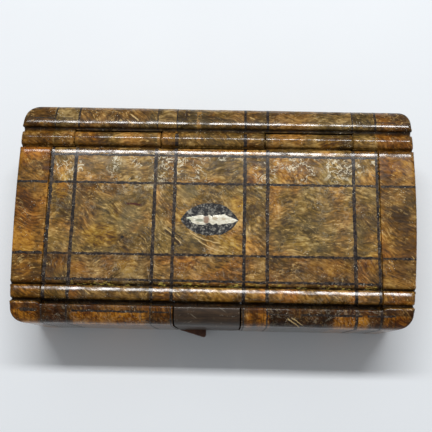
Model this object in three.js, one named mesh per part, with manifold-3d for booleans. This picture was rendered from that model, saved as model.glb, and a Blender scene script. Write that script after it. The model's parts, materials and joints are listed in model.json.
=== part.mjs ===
// Pocket snuff box in burr wood with a wooden hinge, inlaid with black stringing and a bone lozenge.
// Millimetres. +X runs along the box to its right end, +Y to the hinge, +Z up.
// The origin is the middle of the underside.

import * as THREE from "three";
import { mergeVertices } from "three/addons/utils/BufferGeometryUtils.js";
import Module from "manifold-3d";

const wasm = await Module();
wasm.setup();

// Overall sizes
const boxLength = 87;
const boxDepth = 49;
const boxHeight = 21;
const endBow = 0.8;
const planCorner = 3.2;
const edgeRound = 0.7;

// Walls, end blocks and rails
const leftBlock = 7.0;
const rightBlock = 7.8;
const frontRail = 4.1;
const rearRail = 5.85;
const frontRailRound = 3.6;
const rearRailRound = 4.2;
const rearRailDrop = 2.8;
const railShoulder = 0.5;
const rearShoulder = 1.65;
const floorThickness = 3;
const lidLedge = 2;
const cavityCorner = 2.5;

// Lid; its front bead rolls down from the crest to the lid's front edge
const lidThickness = 4;
const lidJoint = 0.3;
const openingGap = 0.7;
const beadWidth = 3.4;
const beadRoll = 2.65;
const beadDrop = 2.3;
const frontGroove = 0.8;
const frontGrooveDepth = 0.9;
const rearRidge = 1.55;

// Hinge
const knuckleRadius = 1.78;
const hingeClearance = 0.3;
const hingeGrooveDepth = 1.1;
const webRise = 0.2;
const hingeShift = -0.24;
const middleKnuckle = 23;
const lidKnuckle = 19.6;
const pinRadius = 0.6;
const pinClearance = 0.3;
const pinInEndBlock = 4;

// Stringing: the strips' width and thickness, and their places from the lid's middle
const stringWidth = 0.75;
const stringThickness = 0.6;
const inlayGap = 0.2;
const crossStrings = [-30.37, -12.67, -8.33, 6.94, 11.92, 30.62];
const fieldStrings = [6.2, -9.6];
const frontRailString = 2.7;
const rearRailString = 3.5;
const stringFoot = 1.4;
const railStringDepth = 1.5;

// Plaque and lozenge let into the lid; its tip, lean and crown shape the curve between end and side
const plaqueLength = 12.5;
const plaqueWidth = 7.2;
const plaqueThickness = 0.8;
const plaqueTip = 0.72;
const plaqueLean = 0.8;
const plaqueCrown = 0.4;
const plaqueCentre = [-0.62, -1.85];
const lozengeLength = 10.4;
const lozengeWidth = 2.5;
const lozengeThickness = 0.45;
const lozengePeak = 0.16;

// Block let into the middle of the front, and the sliver that has lifted beneath it
const frontBlockHeight = 17;
const frontBlockCorner = 2.5;
const blockGap = 0.3;
const sliverLength = 6.2;
const sliverProud = 1.85;
const sliverEndProud = 1.5;
const sliverEndTaper = 0.6;
const sliverHeight = 1.9;
const sliverLift = 0.8;
const sliverInset = 0.4;

// Places worked out from the sizes above
const halfLength = boxLength / 2;
const halfDepth = boxDepth / 2;
const lidLeft = -halfLength + leftBlock;
const lidRight = halfLength - rightBlock;
const lidMiddle = (lidLeft + lidRight) / 2;
const railInner = -halfDepth + frontRail;
const lidFront = railInner + openingGap;
const beadCrest = lidFront + beadRoll;
const beadRear = lidFront + beadWidth;
const rearRailInner = halfDepth - rearRail;
const pivotY = rearRailInner - hingeClearance - knuckleRadius;
const pivotZ = boxHeight - knuckleRadius;
const knuckleFront = pivotY - knuckleRadius;
const lidRear = knuckleFront - hingeClearance;
const fieldRear = lidRear - rearRidge;
const fieldFront = beadRear + frontGroove;
const lidUnderside = boxHeight - lidThickness;
const ledgeTop = lidUnderside - lidJoint;
const hingeMiddle = lidMiddle + hingeShift;
const innerJoint = middleKnuckle / 2;
const outerJoint = innerJoint + lidKnuckle;
const lidKnuckles = [
  [hingeMiddle - outerJoint, hingeMiddle - innerJoint],
  [hingeMiddle + innerJoint, hingeMiddle + outerJoint],
];
const stringPlaces = [
  lidLeft + stringWidth / 2,
  ...crossStrings.map((place) => lidMiddle + place),
  lidRight - stringWidth / 2,
];
const leftStrings = stringPlaces.slice(0, 4);
const rightStrings = stringPlaces.slice(4);
const stringBeforeBlock = leftStrings.at(-1);
const stringAfterBlock = rightStrings[0];
const blockLeft = stringBeforeBlock + stringWidth / 2 + blockGap;
const blockRight = stringAfterBlock - stringWidth / 2 - blockGap;
// How far a cutting solid runs past what it cuts
const beyond = 5;

// Geometry helpers

function solidFrom(geometry) {
  const bare = geometry.clone();
  bare.deleteAttribute("normal");
  bare.deleteAttribute("uv");
  const merged = mergeVertices(bare, 1e-4);
  return new wasm.Manifold(
    new wasm.Mesh({
      numProp: 3,
      vertProperties: merged.attributes.position.array,
      triVerts: new Uint32Array(merged.index.array),
    }),
  );
}

function extrudeAlong(shape, basis, from, to, curveSegments = 8) {
  const geometry = new THREE.ExtrudeGeometry(shape, {
    depth: to - from,
    bevelEnabled: false,
    curveSegments,
  });
  geometry.translate(0, 0, from);
  geometry.applyMatrix4(basis);
  return solidFrom(geometry);
}

// A shape drawn in Y and Z, run along X
const alongX = new THREE.Matrix4().makeBasis(
  new THREE.Vector3(0, 1, 0),
  new THREE.Vector3(0, 0, 1),
  new THREE.Vector3(1, 0, 0),
);
// A shape drawn in X and Y, run along Z
const alongZ = new THREE.Matrix4();
// A shape drawn in Z and X, run along Y
const alongY = new THREE.Matrix4().makeBasis(
  new THREE.Vector3(0, 0, 1),
  new THREE.Vector3(1, 0, 0),
  new THREE.Vector3(0, 1, 0),
);

function slab([x0, x1], [y0, y1], [z0, z1]) {
  const geometry = new THREE.BoxGeometry(x1 - x0, y1 - y0, z1 - z0);
  geometry.translate((x0 + x1) / 2, (y0 + y1) / 2, (z0 + z1) / 2);
  return solidFrom(geometry);
}

function rodAlongX(radius, y, z, from, to, sides) {
  const shape = new THREE.Shape();
  shape.absarc(y, z, radius, 0, 2 * Math.PI);
  return extrudeAlong(shape, alongX, from, to, sides);
}

function joined(solids) {
  return solids.reduce((whole, solid) => whole.add(solid));
}

// Outer form: the moulded section run along the box, trimmed by the plan with its bowed ends

// The section of the whole closed box, with every outer surface moved in by inset
function mouldedSection(inset) {
  const top = boxHeight - inset;
  const front = -halfDepth + inset;
  const rear = halfDepth - inset;
  const grooveInFront = boxHeight - frontGrooveDepth - inset;
  const grooveAtHinge = boxHeight - hingeGrooveDepth - inset;
  const roll = beadDrop - inset;
  const knuckle = knuckleRadius - inset;
  const beadStart = Math.asin((grooveInFront - boxHeight + beadDrop) / roll);
  const knuckleStart = Math.asin((grooveAtHinge - pivotZ) / knuckle);
  const outline = new THREE.Shape();
  outline.moveTo(front, inset);
  outline.lineTo(front, boxHeight - frontRailRound);
  outline.absarc(
    -halfDepth + frontRailRound,
    boxHeight - frontRailRound,
    frontRailRound - inset,
    Math.PI,
    Math.PI / 2,
    true,
  );
  outline.lineTo(railInner - railShoulder, top);
  outline.quadraticCurveTo(railInner - inset, top, railInner - inset, top - railShoulder);
  outline.lineTo(railInner - inset + openingGap / 2, grooveInFront);
  outline.absellipse(
    beadCrest,
    boxHeight - beadDrop,
    beadRoll - inset,
    roll,
    Math.PI - beadStart,
    Math.PI / 2,
    true,
  );
  outline.quadraticCurveTo(beadRear, top, beadRear, grooveInFront);
  outline.lineTo(fieldFront, top);
  outline.lineTo(fieldRear, top);
  outline.quadraticCurveTo(lidRear - inset, top, lidRear - inset, grooveAtHinge);
  outline.absarc(pivotY, pivotZ, knuckle, Math.PI - knuckleStart, knuckleStart, true);
  outline.lineTo(rearRailInner + inset, grooveAtHinge);
  outline.quadraticCurveTo(rearRailInner + inset, top, rearRailInner + rearShoulder, top);
  outline.absellipse(
    halfDepth - rearRailRound,
    boxHeight - rearRailDrop,
    rearRailRound - inset,
    rearRailDrop - inset,
    Math.PI / 2,
    0,
    true,
  );
  outline.lineTo(rear, inset);
  return outline;
}

// The plan, with bowed ends and rounded corners, moved in by inset
function planOutline(inset) {
  const bowRadius = (halfDepth ** 2 + endBow ** 2) / (2 * endBow);
  const cornerHalf = halfLength - endBow - inset;
  const depthHalf = halfDepth - inset;
  const round = planCorner - inset;
  const endAt = (y) => halfLength - inset - bowRadius + Math.sqrt(bowRadius ** 2 - y ** 2);
  const endTop = depthHalf - round;
  const bow = Math.asin(endTop / bowRadius);
  const outline = new THREE.Shape();
  outline.moveTo(-cornerHalf + round, -depthHalf);
  outline.lineTo(cornerHalf - round, -depthHalf);
  outline.quadraticCurveTo(cornerHalf, -depthHalf, endAt(endTop), -endTop);
  outline.absarc(halfLength - inset - bowRadius, 0, bowRadius, -bow, bow);
  outline.quadraticCurveTo(cornerHalf, depthHalf, cornerHalf - round, depthHalf);
  outline.lineTo(-cornerHalf + round, depthHalf);
  outline.quadraticCurveTo(-cornerHalf, depthHalf, -endAt(endTop), endTop);
  outline.absarc(-halfLength + inset + bowRadius, 0, bowRadius, Math.PI - bow, Math.PI + bow);
  outline.quadraticCurveTo(-cornerHalf, -depthHalf, -cornerHalf + round, -depthHalf);
  return outline;
}

function closedBox(inset, fineness) {
  const plan = new THREE.ExtrudeGeometry(planOutline(inset), {
    depth: boxHeight - 2 * inset - 2 * edgeRound,
    bevelThickness: edgeRound,
    bevelSize: edgeRound,
    bevelOffset: -edgeRound,
    bevelSegments: 2,
    curveSegments: 3,
  });
  plan.translate(0, 0, inset + edgeRound);
  const section = mouldedSection(inset);
  const run = extrudeAlong(section, alongX, -halfLength - beyond, halfLength + beyond, fineness);
  return run.intersect(solidFrom(plan));
}

const outerForm = closedBox(0, 4);

// Where the lid, its knuckles and the cavity go

function lidPanelSpace() {
  return slab(
    [lidLeft - lidJoint, lidRight + lidJoint],
    [railInner, knuckleFront],
    [ledgeTop, boxHeight + beyond],
  );
}

function knuckleTrough([from, to]) {
  const radius = knuckleRadius + hingeClearance;
  const hollow = rodAlongX(radius, pivotY, pivotZ, from, to, 12);
  const above = slab([from, to], [pivotY - radius, pivotY + radius], [pivotZ, boxHeight + beyond]);
  const infront = slab([from, to], [knuckleFront - lidJoint, pivotY], [ledgeTop, boxHeight + beyond]);
  return hollow.add(above).add(infront);
}

function cavity() {
  const left = lidLeft + lidLedge;
  const right = lidRight - lidLedge;
  const front = railInner + lidLedge;
  const rear = lidRear;
  const outline = new THREE.Shape();
  outline.moveTo(left + cavityCorner, front);
  outline.absarc(right - cavityCorner, front + cavityCorner, cavityCorner, -Math.PI / 2, 0);
  outline.absarc(right - cavityCorner, rear - cavityCorner, cavityCorner, 0, Math.PI / 2);
  outline.absarc(left + cavityCorner, rear - cavityCorner, cavityCorner, Math.PI / 2, Math.PI);
  outline.absarc(left + cavityCorner, front + cavityCorner, cavityCorner, Math.PI, 1.5 * Math.PI);
  return extrudeAlong(outline, alongZ, floorThickness, boxHeight, 5);
}

// Stringing: strips let in flush with the surface

const stringCore = closedBox(stringThickness, 2);
const kerfCore = closedBox(stringThickness + inlayGap, 2);

// One strip's slab, widened by grow on both sides, limited along its length to reach
function crossSlab(place, grow, reach) {
  const half = stringWidth / 2 + grow;
  return slab([place - half, place + half], reach, [stringFoot - grow, boxHeight + beyond]);
}

function lengthSlab(place, grow, reach, foot) {
  const half = stringWidth / 2 + grow;
  return slab(reach, [place - half, place + half], [foot - grow, boxHeight + beyond]);
}

const wholeLength = [-halfLength - beyond, halfLength + beyond];
const toFront = [-halfDepth - beyond, railInner];
const toRear = [rearRailInner, halfDepth + beyond];
const railStringFoot = boxHeight - railStringDepth;

function lidSlabs(grow) {
  const reach = [lidFront - beyond, rearRailInner];
  const across = stringPlaces.map((place) => crossSlab(place, grow, reach));
  const places = [fieldRear - stringWidth / 2, ...fieldStrings, fieldFront + stringWidth / 2];
  const along = places.map((place) => lengthSlab(place, grow, wholeLength, lidUnderside));
  return joined([...across, ...along]);
}

function frontSlabs(grow, places, reach) {
  const rail = lengthSlab(-halfDepth + frontRailString, grow, reach, railStringFoot);
  return joined([rail, ...places.map((place) => crossSlab(place, grow, toFront))]);
}

function rearSlabs(grow) {
  const rail = lengthSlab(halfDepth - rearRailString, grow, wholeLength, railStringFoot);
  const overKnuckle = [knuckleFront - grow, halfDepth + beyond];
  const reaches = stringPlaces.map((place) =>
    Math.abs(place - hingeMiddle) < innerJoint - stringWidth ? overKnuckle : toRear,
  );
  return joined([rail, ...stringPlaces.map((place, index) => crossSlab(place, grow, reaches[index]))]);
}

function endSlab(grow, side, place) {
  const inner = side < 0 ? lidLeft - lidJoint : lidRight + lidJoint;
  const reach = side < 0 ? [-halfLength - beyond, inner] : [inner, halfLength + beyond];
  return lengthSlab(place, grow, reach, stringFoot);
}

const leftReach = [-halfLength - beyond, stringBeforeBlock];
const rightReach = [stringAfterBlock, halfLength + beyond];
const bodyStrings = [
  ["front_stringing_left", (grow) => frontSlabs(grow, leftStrings, leftReach)],
  ["front_stringing_right", (grow) => frontSlabs(grow, rightStrings, rightReach)],
  ["rear_stringing", rearSlabs],
  ["left_end_string_rear", (grow) => endSlab(grow, -1, fieldStrings[0])],
  ["left_end_string_front", (grow) => endSlab(grow, -1, fieldStrings[1])],
  ["right_end_string_rear", (grow) => endSlab(grow, 1, fieldStrings[0])],
  ["right_end_string_front", (grow) => endSlab(grow, 1, fieldStrings[1])],
];

function strips(slabs, carrier) {
  return slabs(0).subtract(stringCore).intersect(carrier);
}

function kerfs(slabs) {
  return slabs(inlayGap).subtract(kerfCore);
}

// Lid

// The lid's panel, with its front bead and rear ridge, is the outer form between its own edges
function lidBlank() {
  const panel = slab([lidLeft, lidRight], [lidFront, lidRear], [lidUnderside, boxHeight + beyond]);
  const knuckles = lidKnuckles.map(([from, to]) => {
    const start = from + hingeClearance / 2;
    const end = to - hingeClearance / 2;
    const rod = rodAlongX(knuckleRadius, pivotY, pivotZ, start, end, 14);
    const grooveFloor = boxHeight - hingeGrooveDepth;
    const web = new THREE.Shape();
    web.moveTo(lidRear - beyond, lidUnderside);
    web.lineTo(lidRear, lidUnderside);
    web.lineTo(pivotY, pivotZ - knuckleRadius + webRise);
    web.lineTo(pivotY, grooveFloor);
    web.lineTo(lidRear - beyond, grooveFloor);
    return rod.add(extrudeAlong(web, alongX, start, end));
  });
  return joined([outerForm.intersect(panel), ...knuckles]);
}

function pinBore() {
  const reach = outerJoint + pinInEndBlock + lidJoint;
  return rodAlongX(pinRadius + pinClearance, pivotY, pivotZ, hingeMiddle - reach, hingeMiddle + reach, 8);
}

function plaqueOutline(grow) {
  const half = plaqueLength / 2 + grow;
  const side = plaqueWidth / 2 + grow;
  const tip = half * plaqueTip;
  const lean = side * plaqueLean;
  const crown = half * plaqueCrown;
  const outline = new THREE.Shape();
  outline.moveTo(-half, 0);
  outline.bezierCurveTo(-tip, -lean, -crown, -side, 0, -side);
  outline.bezierCurveTo(crown, -side, tip, -lean, half, 0);
  outline.bezierCurveTo(tip, lean, crown, side, 0, side);
  outline.bezierCurveTo(-crown, side, -tip, lean, -half, 0);
  return outline;
}

function lozengeOutline(grow) {
  const half = lozengeLength / 2 + grow;
  const side = lozengeWidth / 2 + grow;
  const outline = new THREE.Shape();
  outline.moveTo(-half, 0);
  outline.lineTo(0, -side);
  outline.lineTo(half, 0);
  outline.lineTo(lozengePeak * lozengeLength, side);
  return outline;
}

function inlay(outline, thickness, top) {
  const solid = extrudeAlong(outline, alongZ, boxHeight - thickness, top, 6);
  return solid.translate([...plaqueCentre, 0]);
}

const aboveField = boxHeight + beyond;
const lidUncut = lidBlank();
const plaquePocket = inlay(plaqueOutline(inlayGap), plaqueThickness + inlayGap, aboveField);
const lozengePocket = inlay(lozengeOutline(inlayGap), lozengeThickness + inlayGap, aboveField);
const plaque = inlay(plaqueOutline(0), plaqueThickness, boxHeight).subtract(lozengePocket);
const lozenge = inlay(lozengeOutline(0), lozengeThickness, boxHeight);
const lid = lidUncut.subtract(pinBore()).subtract(kerfs(lidSlabs)).subtract(plaquePocket);
const lidStringing = strips(lidSlabs, lidUncut);

// Front block and sliver

function frontBlock(grow, rear, top) {
  const left = blockLeft - grow;
  const right = blockRight + grow;
  const foot = boxHeight - frontBlockHeight - grow;
  const round = frontBlockCorner + grow;
  const face = new THREE.Shape();
  face.moveTo(top, left);
  face.lineTo(foot + round, left);
  face.quadraticCurveTo(foot, left, foot, left + round);
  face.lineTo(foot, right - round);
  face.quadraticCurveTo(foot, right, foot + round, right);
  face.lineTo(top, right);
  return extrudeAlong(face, alongY, -halfDepth - beyond, rear, 5);
}

// A thin wedge of wood, rooted under the block's left end and standing out at its free end
function sliver() {
  const root = blockLeft;
  const face = -halfDepth;
  const wedge = new THREE.Shape();
  wedge.moveTo(root, face + sliverInset);
  wedge.lineTo(root, face);
  wedge.lineTo(root + sliverLength - sliverEndTaper, face - sliverProud);
  wedge.lineTo(root + sliverLength, face - sliverEndProud);
  wedge.lineTo(root + sliverLength, face + sliverInset);
  return extrudeAlong(wedge, alongZ, sliverLift, sliverLift + sliverHeight);
}

// Box

const railBlank = outerForm
  .subtract(lidPanelSpace())
  .subtract(joined(lidKnuckles.map(knuckleTrough)))
  .subtract(cavity());
const blockPocket = frontBlock(blockGap, railInner + blockGap, aboveField);
const body = railBlank
  .subtract(pinBore())
  .subtract(blockPocket)
  .subtract(joined(bodyStrings.map(([, slabs]) => kerfs(slabs))))
  .add(sliver());
const block = outerForm.intersect(frontBlock(0, railInner, aboveField));
const pinReach = outerJoint + pinInEndBlock;
const pin = rodAlongX(pinRadius, pivotY, pivotZ, hingeMiddle - pinReach, hingeMiddle + pinReach, 8);

// Materials

const burrWood = new THREE.MeshStandardMaterial({ color: 0x8a5a24, roughness: 0.35, metalness: 0 });
const darkWood = new THREE.MeshStandardMaterial({ color: 0x4a3220, roughness: 0.4, metalness: 0 });
const blackInlay = new THREE.MeshStandardMaterial({ color: 0x26262a, roughness: 0.45, metalness: 0 });
const bone = new THREE.MeshStandardMaterial({ color: 0xd9cfb2, roughness: 0.5, metalness: 0 });
const wire = new THREE.MeshStandardMaterial({ color: 0x8d7440, roughness: 0.4, metalness: 1 });

function meshOf(name, solid, material) {
  const mesh = solid.getMesh();
  const geometry = new THREE.BufferGeometry();
  geometry.setAttribute("position", new THREE.BufferAttribute(mesh.vertProperties, 3));
  geometry.setIndex(new THREE.BufferAttribute(mesh.triVerts, 1));
  geometry.computeVertexNormals();
  const made = new THREE.Mesh(geometry, material);
  made.name = name;
  return made;
}

const snuffBox = new THREE.Group();
snuffBox.add(meshOf("box_body", body, burrWood));
snuffBox.add(meshOf("front_block", block, darkWood));
snuffBox.add(meshOf("hinge_pin", pin, wire));
for (const [name, slabs] of bodyStrings) {
  snuffBox.add(meshOf(name, strips(slabs, railBlank), blackInlay));
}
const lidGroup = new THREE.Group();
lidGroup.add(meshOf("lid", lid, burrWood));
lidGroup.add(meshOf("lid_stringing", lidStringing, blackInlay));
lidGroup.add(meshOf("plaque", plaque, blackInlay));
lidGroup.add(meshOf("bone_lozenge", lozenge, bone));
snuffBox.add(lidGroup);

export default snuffBox;
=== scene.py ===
# Pocket snuff box in burr wood: worn mouldings, black stringing, plaque, bone lozenge and finishes.
# Sizes are in millimetres in the frame of the solids: +X right, +Y to the hinge, +Z up.

import json
import math

import bmesh
import bpy
from mathutils import Matrix, Vector, noise


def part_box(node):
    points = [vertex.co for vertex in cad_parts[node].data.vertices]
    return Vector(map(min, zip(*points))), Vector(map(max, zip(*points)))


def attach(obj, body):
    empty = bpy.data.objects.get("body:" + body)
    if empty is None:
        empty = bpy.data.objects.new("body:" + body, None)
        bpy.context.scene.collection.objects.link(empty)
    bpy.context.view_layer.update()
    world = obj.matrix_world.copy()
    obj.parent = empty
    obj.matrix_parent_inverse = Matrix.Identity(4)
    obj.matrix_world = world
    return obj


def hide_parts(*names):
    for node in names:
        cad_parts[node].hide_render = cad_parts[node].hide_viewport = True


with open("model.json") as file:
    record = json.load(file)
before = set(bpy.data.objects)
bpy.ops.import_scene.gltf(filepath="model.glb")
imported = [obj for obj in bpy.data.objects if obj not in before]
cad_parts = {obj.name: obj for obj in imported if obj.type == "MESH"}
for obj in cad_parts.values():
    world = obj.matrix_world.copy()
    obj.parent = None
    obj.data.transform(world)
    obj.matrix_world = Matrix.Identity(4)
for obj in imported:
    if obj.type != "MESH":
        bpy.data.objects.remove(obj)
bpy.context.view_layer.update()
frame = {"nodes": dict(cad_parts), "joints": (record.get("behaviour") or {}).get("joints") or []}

MM = 0.001


def corners(node):
    low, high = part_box(node)
    return low / MM, high / MM


# Places read from the solids
body_low, body_high = corners("box_body")
lid_low, lid_high = corners("lid")
block_low, block_high = corners("front_block")
plaque_low, plaque_high = corners("plaque")
bone_low, bone_high = corners("bone_lozenge")
pin_low, pin_high = corners("hinge_pin")
sliver_front = body_low.y
hinge = frame["joints"][0]
pivot_y, pivot_z = hinge["pos_m"][1] / MM, hinge["pos_m"][2] / MM

half_length = body_high.x
half_depth = body_high.y
height = body_high.z
lid_left, lid_right = lid_low.x, lid_high.x
lid_front, lid_under = lid_low.y, lid_low.z
knuckle_radius = lid_high.y - pivot_y
rail_inner = block_high.y

# Box form
end_bow = 0.8
corner_rounds = {(-1, -1): 3.2, (-1, 1): 4.8, (1, -1): 3.8, (1, 1): 3.4}
edge_round = 0.7
front_round = 3.6
rear_round = 4.6
rear_drop = 2.8
rail_shoulder = 0.5
floor_thickness = 3
lid_ledge = 2
cavity_corner = 2.5
lid_joint = 0.3

# Mouldings
bead_width = 3.4
bead_roll = 1.9
bead_drop = 2.3
front_groove = 0.8
front_groove_depth = 0.9
rear_ridge = 1.55
hinge_gap = 0.3
hinge_groove_depth = 1.1
ridge_shoulder = 0.3
valley_depth = 0.2
rail_set_back = 0.4

# Stringing, from the lid's middle
string_width = 0.75
left_string_share = 1.25
# How far a strip keeps off the joint between two knuckles
off_joint = 0.6
cross_strings = [-30.37, -12.67, -8.33, 6.94, 11.92, 30.62]
field_strings = [6.2, -9.6]
front_rail_string = 2.7
rear_rail_string = 3.5
string_foot = 1.4
length_width = 0.54
# Widths of the cross strips where the rails' veneer has been rubbed thin, from left to right
front_cross_widths = [0.3, 0.36, 0.3, 0.3, 0.3, 0.36, 0.66, 0.45]
rear_cross_widths = [0.3, 0.42, 0.26, 0.26, 0.55, 0.6, 0.26, 0.5]
# What is left of the line along each rail: start, end and width
front_left_lines = [(-40.6, -36.9, 0.5), (-29.6, -13.5, 0.46), (-12.6, -9.0, 0.3)]
front_right_lines = [(11.9, 17.0, 0.26), (18.5, 31.4, 0.44), (32.4, 38.6, 0.36)]
rear_line_pieces = [(-40.6, -36.3, 0.3), (-35.6, -32.2, 0.2), (35.6, 39.4, 0.22)]
string_sink = 0.35
string_lift = 0.012

# Hinge knuckles, from the lid's middle
hinge_shift = -0.24
middle_knuckle = 23
lid_knuckle = 19.6
web_rise = 0.2
bore_radius = 0.75

# How far each side of the hand-cut plaque stands from its middle, as shares of the true oval
plaque_left_share, plaque_right_share = 1.07, 0.94
plaque_upper_share, plaque_lower_share = 1.03, 0.94

# Front block and sliver
block_corner = 2.5
block_gap = 0.3
sliver_height = 1.9
sliver_lift = 0.8
sliver_length = 6.2

# Rubbed edges and hand finish
joint_rub = 0.2
knuckle_rub = 0.34
lid_edge = 0.15
long_wave = 0.05
short_wave = 0.016
ripple = 0.006

# How far the hand-cut box stands off true: at the middle of each end and of the rear,
# how much more for each millimetre along that side, and how much it bows
end_off = {-1: (0.28, 0.013, 0), 1: (0.2, 0.026, -0.0007)}
end_off_from = 37
rear_off = (-0.07, -0.006)
off_run = 3
# How far the rail stands back into the valley on the end blocks, where nothing opens
end_valley_fill = 0.5

# Places worked out from the sizes above
lid_middle = (lid_left + lid_right) / 2
lid_rear = pivot_y - knuckle_radius - hinge_gap
rear_rail_inner = pivot_y + knuckle_radius + hinge_gap
rear_rail_edge = rear_rail_inner + rail_set_back
rear_shoulder = half_depth - rear_round - rear_rail_edge
bead_crest = lid_front + bead_roll
bead_rear = lid_front + bead_width
field_front = bead_rear + front_groove
field_rear = lid_rear - rear_ridge
front_groove_floor = height - front_groove_depth
hinge_groove_floor = height - hinge_groove_depth
ledge_top = lid_under - lid_joint
hinge_middle = lid_middle + hinge_shift
inner_joint = middle_knuckle / 2
outer_joint = inner_joint + lid_knuckle
lid_knuckles = [
    (hinge_middle - outer_joint, hinge_middle - inner_joint),
    (hinge_middle + inner_joint, hinge_middle + outer_joint),
]
string_places = [lid_left + string_width / 2]
string_places += [lid_middle + place for place in cross_strings]
string_places += [lid_right - string_width / 2]
block_left, block_right = block_low.x, block_high.x
bow_radius = (half_depth**2 + end_bow**2) / (2 * end_bow)
beyond = 3


# Outlines in Y and Z


def straight(start, end, step):
    """Points from start up to end, without end."""
    start, end = Vector(start), Vector(end)
    count = max(1, round((end - start).length / step))
    return [start.lerp(end, index / count) for index in range(count)]


def bend(start, corner, end, count):
    """A curve from start to end that leans towards corner, without end."""
    start, corner, end = Vector(start), Vector(corner), Vector(end)
    shares = [index / count for index in range(count)]
    return [start.lerp(corner, t).lerp(corner.lerp(end, t), t) for t in shares]


def arc(centre, radii, first, last, count):
    """Part of an ellipse between two angles in degrees, without its last point."""
    points = []
    for index in range(count):
        angle = math.radians(first + (last - first) * index / count)
        across, up = radii[0] * math.cos(angle), radii[1] * math.sin(angle)
        points.append(Vector((centre[0] + across, centre[1] + up)))
    return points


def past(point, run, fall):
    """The place a run further back and a fall lower down."""
    return (point[0] + run, point[1] - fall)


def from_bead_to_ridge():
    """The top of the lid from the bead's crest back to the foot of the rear ridge."""
    shoulder = ridge_shoulder
    crest = (bead_crest, height)
    bead_slope = past(crest, 0.3, 0.022)
    bead_turn = past(bead_slope, 0.78, 0.145)
    groove = (bead_rear, front_groove_floor)
    rise = Vector((field_front, height)) - Vector(groove)
    before = Vector((field_front, height)) - rise.normalized() * shoulder
    ridge = (field_rear - 0.05, height)
    ridge_slope = past(ridge, 0.25, 0.006)
    ridge_turn = past(ridge_slope, 0.5, 0.027)
    fall = past(ridge_turn, 0.45, 0.2)
    return (
        bend(crest, past(crest, 0.15, 0), bead_slope, 4)
        + bend(bead_slope, past(bead_slope, 0.39, 0.058), bead_turn, 6)
        + bend(bead_turn, past(bead_turn, 0.3, 0.067), groove, 9)
        + straight(groove, before, 0.2)
        + bend(before, (field_front, height), (field_front + shoulder, height), 4)
        + straight((field_front + shoulder, height), past(ridge, -0.2, 0), 0.42)
        + bend(past(ridge, -0.2, 0), ridge, ridge_slope, 3)
        + bend(ridge_slope, past(ridge_slope, 0.25, 0.011), ridge_turn, 4)
        + bend(ridge_turn, past(ridge_turn, 0.25, 0.018), fall, 5)
        + bend(fall, (lid_rear, fall[1] - 0.3), (lid_rear, hinge_groove_floor), 8)
    )


def box_section():
    front, rear = -half_depth, half_depth
    valley = (rail_inner + (lid_front - rail_inner) * 0.6, front_groove_floor - 2 * valley_depth)
    bead_start = math.degrees(math.asin((front_groove_floor - height + bead_drop) / bead_drop))
    bead_foot = bead_crest - bead_roll * math.cos(math.radians(bead_start))
    knuckle_start = math.degrees(math.asin((hinge_groove_floor - pivot_z) / knuckle_radius))
    knuckle_reach = knuckle_radius * math.cos(math.radians(knuckle_start))
    fore_valley = ((lid_rear + pivot_y - knuckle_reach) / 2, hinge_groove_floor - valley_depth)
    rear_valley = ((rear_rail_edge + pivot_y + knuckle_reach) / 2, hinge_groove_floor - valley_depth)
    return (
        arc((front + edge_round, edge_round), (edge_round, edge_round), 270, 180, 5)
        + straight((front, edge_round), (front, height - front_round), 0.5)
        + arc((front + front_round, height - front_round), (front_round, front_round), 180, 90, 20)
        + bend(
            (rail_inner - rail_shoulder, height),
            (rail_inner, height),
            (rail_inner, height - rail_shoulder),
            7,
        )
        + straight((rail_inner, height - rail_shoulder), valley, 0.2)
        + straight(valley, (bead_foot, front_groove_floor), 0.25)
        + arc((bead_crest, height - bead_drop), (bead_roll, bead_drop), 180 - bead_start, 90, 14)
        + from_bead_to_ridge()
        + straight((lid_rear, hinge_groove_floor), fore_valley, 0.15)
        + straight(fore_valley, (pivot_y - knuckle_reach, hinge_groove_floor), 0.15)
        + arc((pivot_y, pivot_z), (knuckle_radius, knuckle_radius), 180 - knuckle_start, knuckle_start, 18)
        + straight((pivot_y + knuckle_reach, hinge_groove_floor), rear_valley, 0.15)
        + straight(rear_valley, (rear_rail_edge, hinge_groove_floor), 0.15)
        + bend(
            (rear_rail_edge, hinge_groove_floor),
            (rear_rail_edge, height),
            (rear_rail_edge + rear_shoulder, height),
            12,
        )
        + arc((rear - rear_round, height - rear_drop), (rear_round, rear_drop), 90, 0, 20)
        + straight((rear, height - rear_drop), (rear, edge_round), 0.6)
        + arc((rear - edge_round, edge_round), (edge_round, edge_round), 0, -90, 5)
        + straight((rear - edge_round, 0), (front + edge_round, 0), 2.5)
    )


def lid_section():
    low = lid_under + lid_edge
    return (
        arc((lid_front + lid_edge, low), (lid_edge, lid_edge), 270, 180, 3)
        + straight((lid_front, low), (lid_front, height - bead_drop), 0.3)
        + arc((bead_crest, height - bead_drop), (bead_roll, bead_drop), 180, 90, 22)
        + from_bead_to_ridge()
        + straight((lid_rear, hinge_groove_floor), (lid_rear, low), 0.3)
        + arc((lid_rear - lid_edge, low), (lid_edge, lid_edge), 0, -90, 3)
        + straight((lid_rear - lid_edge, lid_under), (lid_front + lid_edge, lid_under), 1)
    )


def ring_normals(ring):
    """The outward normals of a ring that runs clockwise seen from the right end."""
    normals = []
    for index, point in enumerate(ring):
        before, after = ring[index - 1], ring[(index + 1) % len(ring)]
        first, second = (point - before).normalized(), (after - point).normalized()
        run = (first + second).normalized()
        normals.append(Vector((-run.y, run.x)))
    return normals


# Worn surfaces


def rub(distance, radius):
    """How far an arris of that radius falls away at a distance from its joint."""
    if distance >= radius:
        return 0
    inset = radius - max(distance, 0)
    return radius - math.sqrt(radius**2 - inset**2)


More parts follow.
